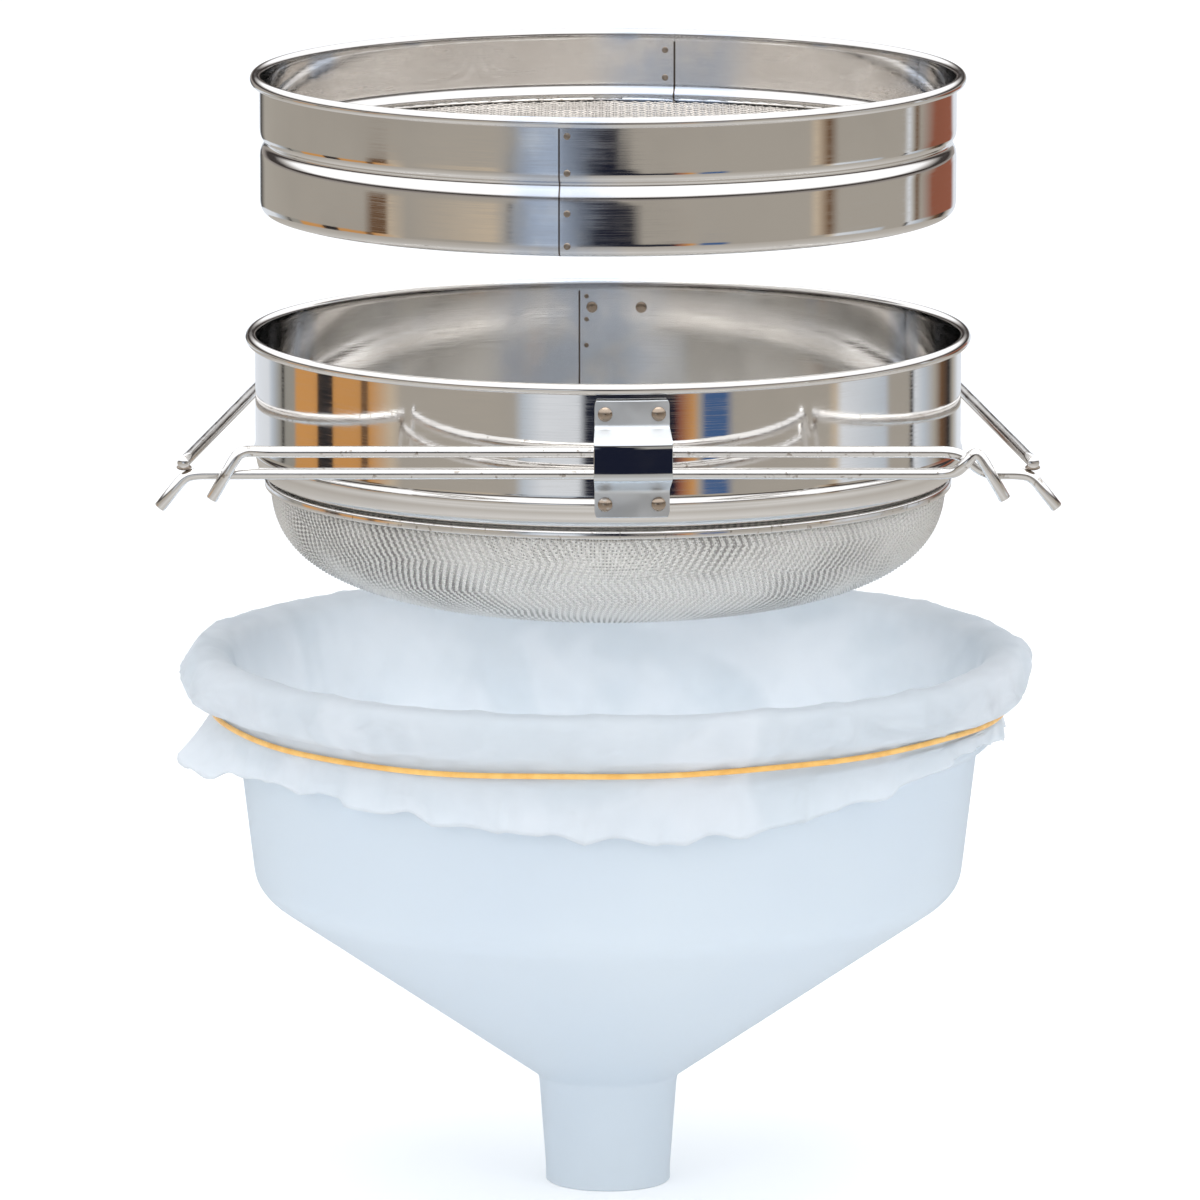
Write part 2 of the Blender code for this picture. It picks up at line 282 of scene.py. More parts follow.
def arc(centre, radius, start_deg, end_deg, steps):
    """Points along an arc in the (r, z) plane."""
    turn = np.radians(np.linspace(start_deg, end_deg, steps + 1))
    return [(centre[0] + radius * math.cos(a), centre[1] + radius * math.sin(a)) for a in turn]


def rounded(points, reach, steps=5):
    """A route with each corner turned into a curve that starts at most this far from it."""
    points = [Vector(p) for p in points]
    route = [points[0]]
    for before, here, after in zip(points, points[1:], points[2:]):
        a, b = before - here, after - here
        start = here + a * min(reach / a.length, 0.49)
        end = here + b * min(reach / b.length, 0.49)
        for i in range(steps + 1):
            t = i / steps
            route.append(start * (1 - t) ** 2 + here * (2 * t * (1 - t)) + end * t**2)
    return route + [points[-1]]


def braced(line, gap=1.2):
    """Adds a point near both ends of each long straight part, so that it shades flat."""
    out = [line[0]]
    for a, b in zip(line, line[1:]):
        length = np.linalg.norm(b - a)
        if length > 4 * gap:
            out += [a + (b - a) * gap / length, b - (b - a) * gap / length]
        out.append(b)
    return np.array(out)


def outline(centreline, thickness, end_round=0.35):
    """The closed outline of a sheet of this thickness along a centreline, with eased edges."""
    line = braced(np.array([tuple(p)[:2] for p in centreline], float))
    steps = np.diff(line, axis=0)
    steps /= np.linalg.norm(steps, axis=1)[:, None]
    sides = np.stack([-steps[:, 1], steps[:, 0]], axis=1)
    normals = np.vstack([sides[:1], sides[:-1] + sides[1:], sides[-1:]])
    lengths = np.linalg.norm(normals, axis=1)[:, None]
    normals /= lengths
    stretch = np.ones(len(line))
    stretch[1:-1] = np.minimum(2 / np.maximum(lengths[1:-1, 0], 0.6), 1.6)
    offset = normals * (thickness / 2 * stretch)[:, None]
    left, right = line + offset, line - offset
    push = thickness * end_round
    tip = line[-1] + steps[-1] * push
    tail = line[0] - steps[0] * push
    tips = [tip + offset[-1] * 0.5, tip - offset[-1] * 0.5]
    tails = [tail - offset[0] * 0.5, tail + offset[0] * 0.5]
    return np.vstack([left, tips, right[::-1], tails])


def mesh_piece(name, points, faces, finish, body, crease_deg=40):
    """A piece from points in millimetres, smooth except past the crease angle."""
    mesh = bpy.data.meshes.new(name)
    points = np.asarray(points, np.float32) * MM
    faces = np.asarray(faces, np.int32)
    mesh.vertices.add(len(points))
    mesh.vertices.foreach_set("co", points.ravel())
    size = faces.shape[1]
    mesh.loops.add(faces.size)
    mesh.loops.foreach_set("vertex_index", faces.ravel())
    mesh.polygons.add(len(faces))
    mesh.polygons.foreach_set("loop_start", np.arange(0, faces.size, size, dtype=np.int32))
    mesh.update(calc_edges=True)
    return finished(name, mesh, finish, body, crease_deg)


def finished(name, mesh, finish, body, crease_deg=40):
    mesh.validate()
    mesh.shade_smooth()
    if crease_deg:
        mesh.set_sharp_from_angle(angle=math.radians(crease_deg))
    obj = placed(name, mesh)
    mesh.materials.append(finish.material)
    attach(obj, body)
    return obj


def stands_for(node):
    """Hides the CAD node that a piece stands in for."""
    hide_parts(node)


def ring_faces(rows, columns):
    """Faces of a grid that closes both ways, with points numbered column by column."""
    i, j = np.meshgrid(np.arange(columns), np.arange(rows), indexing="ij")
    i2, j2 = (i + 1) % columns, (j + 1) % rows
    quads = [i * rows + j, i2 * rows + j, i2 * rows + j2, i * rows + j2]
    return np.stack(quads, axis=-1).reshape(-1, 4)


def columns(marks=()):
    """Angles round the axis in degrees, with extra ones close to each mark."""
    angles = set(np.linspace(-180, 180, FINE, endpoint=False).tolist())
    for mark in marks:
        angles -= {a for a in angles if abs(a - mark) < 0.5}
        angles |= {mark - 0.45, mark - 0.12, mark - 0.02, mark + 0.02, mark + 0.12, mark + 0.45}
    return np.array(sorted(angles))


def turned(name, section, height, finish, body, angles=None, lift=None, crease_deg=40):
    """A closed (r, z) section turned round the main axis. lift(angle) moves it outwards."""
    section = np.asarray([tuple(p) for p in section], float)
    angles = columns() if angles is None else angles
    out = np.zeros(len(angles)) if lift is None else np.array([lift(a) for a in angles])
    a = np.radians(angles)[:, None]
    r = section[None, :, 0] + out[:, None]
    z = np.broadcast_to(section[None, :, 1] + height, r.shape)
    points = np.stack([r * np.cos(a), r * np.sin(a), z], axis=-1).reshape(-1, 3)
    faces = ring_faces(len(section), len(angles))
    area = np.sum(section[:, 0] * np.roll(section[:, 1], -1) - np.roll(section[:, 0], -1) * section[:, 1])
    if area < 0:
        faces = faces[:, ::-1]
    return mesh_piece(name, points, faces, finish, body, crease_deg)


def tube(name, route, radius, finish, body, sides=20):
    """A round bar along a route, with square-cut ends whose edges are eased."""
    line = np.array([tuple(p) for p in route], float)
    keep = [0] + [i for i in range(1, len(line)) if np.linalg.norm(line[i] - line[i - 1]) > 1e-3]
    line = line[keep]
    ahead = np.diff(line, axis=0)
    ahead /= np.linalg.norm(ahead, axis=1)[:, None]
    along = np.vstack([ahead[:1], ahead[:-1] + ahead[1:], ahead[-1:]])
    along /= np.linalg.norm(along, axis=1)[:, None]
    ease = 0.18 * radius
    rings = [(line[0], radius - ease), (line[0] + along[0] * ease, radius)]
    rings += [(p, radius) for p in line[1:-1]]
    rings += [(line[-1] - along[-1] * ease, radius), (line[-1], radius - ease)]
    directions = np.vstack([along[:1], along[:1], along[1:-1], along[-1:], along[-1:]])
    side = Vector(directions[0]).orthogonal().normalized()
    points, previous = [], Vector(directions[0])
    for (centre, r), direction in zip(rings, directions):
        direction = Vector(direction)
        side = previous.rotation_difference(direction) @ side
        side = (side - direction * side.dot(direction)).normalized()
        other = direction.cross(side)
        previous = direction
        for k in range(sides):
            turn = math.tau * k / sides
            points.append(Vector(centre) + side * (r * math.cos(turn)) + other * (r * math.sin(turn)))
    mesh = bpy.data.meshes.new(name)
    faces = []
    for i in range(len(rings) - 1):
        for k in range(sides):
            a, b = i * sides + k, i * sides + (k + 1) % sides
            faces.append((a, b, b + sides, a + sides))
    last = (len(rings) - 1) * sides
    faces.append(tuple(range(sides))[::-1])
    faces.append(tuple(range(last, last + sides)))
    mesh.from_pydata([p * MM for p in points], [], faces)
    return finished(name, mesh, finish, body, 50)


def spun(profile, steps):
    """(points, faces) of an (r, h) profile turned round local Z. It starts on the axis, and
    ends on it or in a flat base."""
    pointed = profile[-1][0] < 1e-6
    rings = profile[1:-1] if pointed else profile[1:]
    turns = [math.tau * k / steps for k in range(steps)]
    points = [(0, 0, profile[0][1])]
    points += [(r * math.cos(turn), r * math.sin(turn), h) for r, h in rings for turn in turns]
    faces = [(0, 1 + k, 1 + (k + 1) % steps) for k in range(steps)]
    for row in range(len(rings) - 1):
        for k in range(steps):
            a, b = 1 + row * steps + k, 1 + row * steps + (k + 1) % steps
            faces.append((a, a + steps, b + steps, b))
    last = 1 + (len(rings) - 1) * steps
    if pointed:
        points.append((0, 0, profile[-1][1]))
        faces += [(last + (k + 1) % steps, last + k, len(points) - 1) for k in range(steps)]
    else:
        faces.append(tuple(range(last, last + steps))[::-1])
    return points, faces


def lens(radius, height, steps=16):
    """A low dome on its flat base."""
    profile = [(0.0, 1.0), (0.4, 0.95), (0.72, 0.75), (0.93, 0.35), (1.0, 0.0), (1.0, -0.3)]
    return spun([(r * radius, h * height) for r, h in profile], steps)


def bead(radius, height, steps=20, rows=8):
    """A flattened ball."""
    leans = [math.pi * row / rows for row in range(rows + 1)]
    return spun([(radius * math.sin(lean), height * math.cos(lean)) for lean in leans], steps)


def outward(angle_deg, radius, z, inwards=False):
    """Stands local Z out from the main axis at this place, or in towards it."""
    turn = math.radians(angle_deg)
    tilt = -math.pi / 2 if inwards else math.pi / 2
    place = Matrix.Translation((radius * math.cos(turn), radius * math.sin(turn), z))
    return place @ Matrix.Rotation(turn, 4, "Z") @ Matrix.Rotation(tilt, 4, "Y")


def scattered(name, shape, places, finish, body):
    """One piece from copies of a small shape."""
    points, faces = [], []
    base_points, base_faces = shape
    for place in places:
        start = len(points)
        points += [(place @ Vector(p)) * MM for p in base_points]
        faces += [tuple(start + i for i in face) for face in base_faces]
    mesh = bpy.data.meshes.new(name)
    mesh.from_pydata(points, [], faces)
    return finished(name, mesh, finish, body)


# ---- materials


class Finish:
    """A Principled material with short names for the nodes that vary it."""

    def __init__(self, name, colour, roughness, metallic=0.0, **sockets):
        self.material = bpy.data.materials.new(name)
        self.material.use_nodes = True
        tree = self.material.node_tree
        self.nodes, self.links = tree.nodes, tree.links
        self.shader = self.nodes["Principled BSDF"]
        self.out = self.nodes["Material Output"]
        self.set("Base Color", (*colour, 1.0))
        self.set("Roughness", roughness)
        self.set("Metallic", metallic)
        for socket, value in sockets.items():
            self.set(socket.replace("_", " "), value)
        self.place = self.nodes.new("ShaderNodeTexCoord").outputs["Object"]

    def set(self, socket, value):
        self.shader.inputs[socket].default_value = value

    def maths(self, operation, *values):
        node = self.nodes.new("ShaderNodeMath")
        node.operation = operation
        for socket, value in zip(node.inputs, values):
            if isinstance(value, (int, float)):
                socket.default_value = value
            else:
                self.links.new(value, socket)
        return node.outputs[0]

    def times(self, a, b):
        return self.maths("MULTIPLY", a, b)

    def axes(self):
        """The object's X, Y and Z."""
        split = self.nodes.new("ShaderNodeSeparateXYZ")
        self.links.new(self.place, split.inputs[0])
        return split.outputs

    def turn(self, axes):
        """The angle round the main axis, in radians."""
        return self.maths("ARCTAN2", axes["Y"], axes["X"])

    def round_axis(self, across, up):
        """Coordinates that run round the main axis and up it, each with its own scale."""
        axes = self.axes()
        join = self.nodes.new("ShaderNodeCombineXYZ")
        self.links.new(self.times(self.turn(axes), across), join.inputs[0])
        self.links.new(self.times(axes["Z"], up), join.inputs[2])
        return join.outputs[0]

    def noise(self, scale, detail=2.0, vector=None, distortion=0.0):
        node = self.nodes.new("ShaderNodeTexNoise")
        node.inputs["Scale"].default_value = scale
        node.inputs["Detail"].default_value = detail
        node.inputs["Distortion"].default_value = distortion
        self.links.new(vector or self.place, node.inputs["Vector"])
        return node.outputs["Fac"]

    def spread(self, value, low, high, from_low=0.0, from_high=1.0):
        """Maps a value smoothly from one range to another."""
        node = self.nodes.new("ShaderNodeMapRange")
        node.interpolation_type = "SMOOTHSTEP"
        for socket, number in zip(node.inputs[1:5], (from_low, from_high, low, high)):
            socket.default_value = number
        self.links.new(value, node.inputs[0])
        return node.outputs[0]

    def blend(self, share, a, b):
        node = self.nodes.new("ShaderNodeMix")
        node.data_type = "RGBA"
        self.links.new(share, node.inputs["Factor"])
        for socket, value in ((node.inputs[6], a), (node.inputs[7], b)):
            if isinstance(value, tuple):
                socket.default_value = (*value, 1.0)
            else:
                self.links.new(value, socket)
        return node.outputs[2]

    def fade(self, value, low, high, a, b):
        """Colour a below the low value and b above the high one."""
        return self.blend(self.spread(value, 0.0, 1.0, low, high), a, b)

    def bump(self, height, distance, strength=1.0):
        node = self.nodes.new("ShaderNodeBump")
        node.inputs["Strength"].default_value = strength
        node.inputs["Distance"].default_value = distance
        self.links.new(height, node.inputs["Height"])
        self.links.new(node.outputs["Normal"], self.shader.inputs["Normal"])

    def drive(self, socket, value):
        self.links.new(value, self.shader.inputs[socket])

    def mixed(self, share, first, second):
        """A mix of two shaders. The share of the second is a number or a socket."""
        node = self.nodes.new("ShaderNodeMixShader")
        if isinstance(share, float):
            node.inputs["Fac"].default_value = share
        else:
            self.links.new(share, node.inputs["Fac"])
        self.links.new(first, node.inputs[1])
        self.links.new(second, node.inputs[2])
        return node.outputs[0]

    def lit_through(self, colour, share):
        """The surface with some light let through."""
        through = self.nodes.new("ShaderNodeBsdfTranslucent")
        through.inputs["Color"].default_value = (*colour, 1.0)
        return self.mixed(share, self.shader.outputs[0], through.outputs[0])

    def show(self, shader):
        self.links.new(shader, self.out.inputs["Surface"])


def polished_steel(name, seams, rim_z, base=(0.80, 0.78, 0.755)):
    """Sheet polished round its axis. Each seam is (degrees, half width of its heat tint)."""
    finish = Finish(name, base, 0.07, 1.0)
    lines = finish.noise(1.0, 3.0, finish.round_axis(6.0, 2600.0))
    clouds = finish.noise(22.0, 3.0)
    rough = finish.spread(lines, 0.035, 0.13, 0.3, 0.75)
    colour = finish.fade(clouds, 0.35, 0.7, base, tuple(0.93 * c for c in base))
    axes = finish.axes()
    turn = finish.turn(axes)
    tint = line = None
    for seam, half in seams:
        away = finish.maths("ABSOLUTE", finish.maths("SUBTRACT", turn, math.radians(seam)))
        near_it = finish.spread(away, 1.0, 0.0, math.radians(half * 0.35), math.radians(half))
        # Painted shadow: a thin near-black line right at each seam, where the lapped edge casts shade.
        edge = finish.spread(away, 1.0, 0.0, math.radians(0.10), math.radians(0.21))
        tint = near_it if tint is None else finish.maths("MAXIMUM", tint, near_it)
        line = edge if line is None else finish.maths("MAXIMUM", line, edge)
    below_bead = finish.maths("LESS_THAN", axes["Z"], (rim_z - 4.0) * MM)
    line = finish.times(line, below_bead)
    tint = finish.times(tint, finish.spread(finish.noise(60.0, 4.0), 0.35, 1.0, 0.3, 0.6))
    colour = finish.blend(tint, colour, (0.60, 0.66, 0.76))
    # Paints the seam shadow into the colour, below the bead only.
    colour = finish.blend(line, colour, (0.12, 0.10, 0.09))
    rough = finish.maths("ADD", rough, finish.times(tint, 0.13))
    finish.drive("Base Color", colour)
    finish.drive("Roughness", rough)
    ripple = finish.noise(9.0, 1.0)
    height = finish.maths("ADD", finish.times(lines, 0.02), ripple)
    finish.bump(height, 0.00022, 0.6)
    return finish


def guide_steel():
    """The folded guide: dull tabs, and a channel that is polished where its face stands out."""
    finish = Finish("polished_steel_guides", (0.74, 0.77, 0.81), 0.1, 1.0)
    axes = finish.axes()
    squares = [finish.times(axes[name], axes[name]) for name in ("X", "Y")]
    reach = finish.maths("SQRT", finish.maths("ADD", *squares))
    face = finish.spread(reach, 0.0, 1.0, 0.1244, 0.1254)
    clouds = finish.noise(70.0, 3.0)
    dull = finish.spread(clouds, 0.30, 0.52, 0.3, 0.7)
    rough = finish.times(dull, finish.maths("SUBTRACT", 1.0, finish.times(face, 0.88)))
    finish.drive("Roughness", rough)
    finish.drive("Base Color", finish.blend(clouds, (0.78, 0.84, 0.90), (0.72, 0.73, 0.74)))
    return finish


def drawn_wire(name, base=(0.84, 0.83, 0.82), rough=0.10):
    """Bright drawn wire with faint lengthwise wear and dull specks."""
    finish = Finish(name, base, rough, 1.0)
    patches = finish.noise(70.0, 4.0)
    specks = finish.noise(420.0, 2.0)
    finish.drive("Roughness", finish.spread(patches, rough * 0.6, rough * 2.0, 0.3, 0.7))
    finish.drive("Base Color", finish.fade(specks, 0.62, 0.74, base, (0.5, 0.46, 0.42)))
    finish.bump(patches, 0.0001, 0.3)
    return finish


def weld_steel():
    """Spot welds and weld beads: duller, brown at the edge."""
    finish = Finish("weld_steel", (0.42, 0.36, 0.30), 0.38, 1.0)
    blotches = finish.noise(900.0, 3.0)
    finish.drive("Base Color", finish.blend(blotches, (0.14, 0.10, 0.07), (0.50, 0.44, 0.38)))
    return finish


def wire_with_painted_moire(name, light, dark):
    """Fine bright wire with slanting light and dark bars in zigzag bands painted into its colour: painted
    highlights and shade that stand in for the glints along the weave.
    """
    finish = Finish(name, light, 0.34, 0.7)
    axes = finish.axes()
    turn = finish.turn(axes)
    sway = finish.times(finish.noise(9.0, 1.0), 2.6)
    band = finish.maths("ADD", finish.times(axes["Z"], 46.0), sway)
    fold = finish.maths("PINGPONG", band, 0.5)
    bars = finish.maths("ADD", finish.times(turn, 262.0), finish.times(fold, 24.0))
    painted_moire_wave = finish.maths("SINE", bars)
    strong = finish.spread(finish.noise(24.0, 2.0), 0.22, 1.0, 0.38, 0.62)
    share = finish.times(finish.spread(painted_moire_wave, 0.0, 1.0, -0.5, 0.6), strong)
    # Painted highlight and shade: the bars lighten and darken the wire's base colour.
    finish.drive("Base Color", finish.blend(share, light, dark))
    return finish


def milky_plastic():
    """Thick translucent polyethylene: satin skin, a little light through the wall."""
    finish = Finish("milky_plastic", (0.765, 0.825, 0.875), 0.36, Specular_IOR_Level=0.35)
    clouds = finish.noise(9.0, 3.0)
    colour = finish.fade(clouds, 0.3, 0.7, (0.765, 0.825, 0.875), (0.80, 0.855, 0.89))
    finish.drive("Base Color", colour)
    orange_peel = finish.noise(900.0, 2.0)
    finish.bump(orange_peel, 0.00005, 0.25)
    finish.show(finish.lit_through((0.83, 0.885, 0.94), 0.38))
    return finish


def nylon():
    """Thin white nylon with soft light through it. Soft zones are painted paler and darker, painted shade
    that stands in for folds and for cloth lying double.
    """
    finish = Finish("nylon_cloth", (0.87, 0.905, 0.935), 0.55, Specular_IOR_Level=0.25, Sheen_Weight=0.25)
    painted_fold_shade = finish.spread(finish.noise(11.0, 2.0, distortion=1.2), 0.0, 1.0, 0.42, 0.58)
    clouds = finish.spread(finish.noise(30.0, 3.0), 0.0, 1.0, 0.3, 0.7)
    mixed = finish.maths("ADD", finish.times(painted_fold_shade, 0.6), finish.times(clouds, 0.4))
    # Painted fold shade, mixed with random cloudy tone, sets the base colour; the paler parts also let less
    # light straight through.
    finish.drive("Base Color", finish.blend(mixed, (0.84, 0.88, 0.91), (0.90, 0.92, 0.945)))
    soft = finish.noise(34.0, 4.0, distortion=0.8)
    folds = finish.maths("ABSOLUTE", finish.maths("SUBTRACT", finish.noise(20.0, 2.0, distortion=0.5), 0.5))
    creases = finish.maths("SUBTRACT", finish.times(soft, 0.6), finish.times(folds, 2.2))
    finish.bump(creases, 0.0012, 0.55)
    cloth_shader = finish.lit_through((0.90, 0.93, 0.955), 0.45)
    clear = finish.nodes.new("ShaderNodeBsdfTransparent")
    finish.show(finish.mixed(finish.spread(mixed, 0.74, 0.90), clear.outputs[0], cloth_shader))
    return finish


def elastic():
    """Covered elastic: ochre yarn wound round a core."""
    finish = Finish("elastic", (0.90, 0.52, 0.13), 0.6, Sheen_Weight=0.2)
    winding = finish.maths("SINE", finish.noise(1.0, 0.0, finish.round_axis(900.0, 900.0)))
    mottle = finish.noise(160.0, 3.0)
    colour = finish.fade(mottle, 0.3, 0.7, (0.93, 0.56, 0.16), (0.80, 0.42, 0.09))
    finish.drive("Base Color", colour)
    finish.bump(winding, 0.0001, 0.5)
    return finish


# ---- sieves


def rim_centre(wall_r):
    return wall_r + CURL_R, -(CURL_R + SHEET_T / 2)


def rolled_rim(wall_r):
    return arc(rim_centre(wall_r), CURL_R, -CURL_OPEN_DEG, 176, 22)


def rim_wire(name, node, wall_r, rim_z, finish, body):
    centre = rim_centre(wall_r)
    section = arc(centre, RIM_WIRE_R, 0, 360, 12)[:-1]
    piece = turned(name, section, rim_z, finish, body)
    stands_for(node)


def lap(seams):
    """Outward step where the sheet laps over itself at each seam, easing off to one side."""

    def lift(angle):
        out = 0.0
        for seam, step, reach in seams:
            past = angle - seam
            if 0 < past < reach:
                out += step * (1 - past / reach) ** 2
        return out

    return lift


def band(name, node, wall_r, wall, rim_z, seams, finish, body):
    """A sheet ring: rolled rim and the wall below it."""
    line = rolled_rim(wall_r) + [tuple(p) for p in wall]
    marks = [seam for seam, _, _ in seams]
    piece = turned(name, outline(line, SHEET_T), rim_z, finish, body, columns(marks), lap(seams))
    stands_for(node)
    return piece


def wires(name, pitch, radius, reach, across, surface, finish, body, sides=4):
    """Wires of one direction of a plain weave over a round patch. surface(u, v) gives the
    point and normal of the unwoven sheet; across swaps the two directions."""
    count = int(reach / pitch)
    points, faces = [], []
    corner_turns = [math.tau * (k + 0.5) / sides for k in range(sides)]
    for j in range(-count, count + 1):
        v = j * pitch
        half = math.sqrt(max(reach**2 - v**2, 0.0))
        n = int(half / pitch)
        if n < 2:
            continue
        stations = np.arange(-n, n + 1)
        along_wire, aside = stations * pitch, np.full(len(stations), float(v))
        centre, normal = surface(aside, along_wire) if across else surface(along_wire, aside)
        over = np.where((stations + j + across) % 2 == 0, 1.0, -1.0)
        centre = centre + normal * (over * radius)[:, None]
        along = np.gradient(centre, axis=0)
        along /= np.linalg.norm(along, axis=1)[:, None]
        side = np.cross(normal, along)
        side /= np.linalg.norm(side, axis=1)[:, None]
        up = np.cross(along, side)
        start = len(points)
        block = [centre + side * (radius * math.cos(t)) + up * (radius * math.sin(t)) for t in corner_turns]
        points += list(np.stack(block, axis=1).reshape(-1, 3))
        rows = len(stations)
        i, k = np.meshgrid(np.arange(rows - 1), np.arange(sides), indexing="ij")
        a, b = start + i * sides + k, start + i * sides + (k + 1) % sides
        faces.append(np.stack([a, b, b + sides, a + sides], axis=-1).reshape(-1, 4))
        last = start + (rows - 1) * sides
        ends = [[start + 3, start + 2, start + 1, start], [last, last + 1, last + 2, last + 3]]
        faces.append(np.array(ends))
    return mesh_piece(name, np.array(points), np.vstack(faces), finish, body, None)


def flat_patch(height):
    def surface(u, v):
        points = np.stack([u, v, np.full_like(u, height)], axis=1)
        return points, np.tile((0.0, 0.0, 1.0), (len(u), 1))

    return surface


def bowl_patch(profile, height):
    """The sheet pressed into a bowl: a point keeps its distance from the middle."""
    line = np.array([tuple(p) for p in profile], float)
    steps = np.linalg.norm(np.diff(line, axis=0), axis=1)
    along = np.concatenate([[0.0], np.cumsum(steps)])

    def surface(u, v):
        s = np.hypot(u, v)
        r = np.interp(s, along, line[:, 0])
        z = np.interp(s, along, line[:, 1])
        r2 = np.interp(s + 0.5, along, line[:, 0])
        z2 = np.interp(s + 0.5, along, line[:, 1])
        safe = np.maximum(s, 1e-6)
        cos, sin = u / safe, v / safe
        slope = np.stack([r2 - r, z2 - z], axis=1)
        slope /= np.maximum(np.linalg.norm(slope, axis=1), 1e-9)[:, None]
        points = np.stack([r * cos, r * sin, z + height], axis=1)
        normal = np.stack([-slope[:, 1] * cos, -slope[:, 1] * sin, slope[:, 0]], axis=1)
        return points, normal

    return surface, along[-1]


def coarse_sieve():
    body = "upper_sieve"
    w = UPPER_WALL_R
    front_seam, rear_seam = -97.9, 78.6
    steel = polished_steel("polished_steel_upper", ((front_seam, 12.0), (rear_seam, 16.0)), UPPER_RIM_Z)
    wall = rounded(
        [
            (w, -4.0), (w, -19.6), (w - 0.5, -20.9), (w - 1.5, -21.9), (w - 1.5, -23.2),
            (w - 0.5, -25.0), (w, -26.4), (w, -43.0), (w - 0.6, HEM_Z + 0.7), (w - 1.7, HEM_Z),
            (w - 2.4, HEM_Z + 1.0),
        ],
        1.6,
        4,
    )
    seams = [(front_seam, 0.42, 9.0), (rear_seam, -0.35, 7.0)]
    band("upper_band_sheet", "upper_band", w, wall, UPPER_RIM_Z, seams, steel, body)
    rim_wire("upper_rim_core", "upper_rim_wire", w, UPPER_RIM_Z, WIRE, body)
    disc = corner("upper_mesh_disc", 1)
    mesh_z = (corner("upper_mesh_disc", 0).z + disc.z) / 2
    for name, across in (("upper_mesh_warp", 0), ("upper_mesh_weft", 1)):
        sheet = flat_patch(mesh_z)
        piece = wires(name, COARSE_PITCH, COARSE_WIRE_R, disc.x - 0.6, across, sheet, COARSE, body)
        stands_for("upper_mesh_disc")
    low, high = corners("upper_mesh_hoop")
    inner = 110.8
    section = rounded_box(inner, high.x, low.z, high.z, 1.1)
    hoop = turned("upper_hoop", section, 0.0, WIRE, body)
    stands_for("upper_mesh_hoop")
    welds = [(front_seam + 1.3, z) for z in (-6.4, -18.4, -31.6, -42.2)]
    places = [outward(a, w + SHEET_T / 2 + 0.34, UPPER_RIM_Z + z) for a, z in welds]
    for z in (-7.0, -16.5):
        places.append(outward(rear_seam + 1.6, w - SHEET_T / 2 - 0.2, UPPER_RIM_Z + z, inwards=True))
    piece = scattered("upper_spot_welds", lens(1.15, 0.2), places, WELD, body)


def rounded_box(inner, outer, low, high, reach):
    """A rectangular section with rounded corners, closed."""
    mid = (inner + outer) / 2
    route = rounded(
        [(mid, low, 0), (outer, low, 0), (outer, high, 0), (inner, high, 0), (inner, low, 0), (mid, low, 0)],
        reach,
        4,
    )
    return [(p[0], p[1]) for p in route[:-1]]


def fine_sieve():
    body = "lower_sieve"
    w = LOWER_WALL_R
    rear_seam = 94.8
    steel = polished_steel("polished_steel_lower", ((rear_seam, 18.0),), LOWER_RIM_Z)
    wall = rounded(
        [
            (w, -4.0), (w, -38.2), (w + 0.9, -39.9), (w - 0.1, -41.7), (w - 0.35, -43.6),
            (w - 1.3, -46.1), (w - 3.3, -47.9), (w - 6.1, -48.7), (w - 6.1, -52.6),
        ],
        1.3,
        4,
    )
    seams = [(rear_seam, -0.4, 9.0)]
    band("lower_band_sheet", "lower_band", w, wall, LOWER_RIM_Z, seams, steel, body)
    rim_wire("lower_rim_core", "lower_rim_wire", w, LOWER_RIM_Z, WIRE, body)
    bowl()
    hoop()
    inside = w - SHEET_T / 2 - 0.25
    heights = [LOWER_RIM_Z + z for z in (-6.0, -14.0, -23.0)]
    places = [outward(rear_seam - 1.2, inside, z, inwards=True) for z in heights]
    piece = scattered("lower_spot_welds", lens(0.8, 0.16), places, WELD, body)
    rivets_and_brackets()
    for side, route in ((-1, left_arm_route()), (1, right_arm_route())):
        arm(side, route)


def bowl():
    top = corner("lower_mesh_bowl", 1)
    r = top.x - 0.25
    profile = [
        (0.0, -91.6), (26.0, -91.0), (52.0, -89.3), (76.0, -85.7), (92.0, -80.5), (102.5, -74.0),
        (108.4, -67.0), (111.2, -60.0), (r, -53.0), (r, -49.5),
    ]
    smooth = rounded([(a, b, 0) for a, b in profile], 9.0, 6)
    surface, reach = bowl_patch([(p[0], p[1]) for p in smooth], LOWER_RIM_Z)
    for name, across in (("lower_mesh_warp", 0), ("lower_mesh_weft", 1)):
        piece = wires(name, FINE_PITCH, FINE_WIRE_R, reach, across, surface, MESH, "lower_sieve")
        stands_for("lower_mesh_bowl")


def hoop():
    """The ring that grips the mesh: a bright round-edged strip, butted at the front."""
    low, high = corners("lower_mesh_hoop")
    joint = -88.1

    def lift(angle):
        return -0.35 if abs(angle - joint) < 0.06 else 0.0

    section = rounded_box(high.x - 1.65, high.x, low.z, high.z, 0.8)
    piece = turned("lower_hoop", section, 0.0, WIRE, "lower_sieve", columns([joint]), lift)
    stands_for("lower_mesh_hoop")


def rivets_and_brackets():
    for side in ("front", "rear"):
        low, high = corners(f"{side}_bracket")
        middle = math.degrees(math.atan2(low.y + high.y, low.x + high.x))
        strip(side, middle)
        for row in ("top", "bottom"):
            for i in (1, 2):
                rivet(f"{side}_rivet_{row}_{i}")


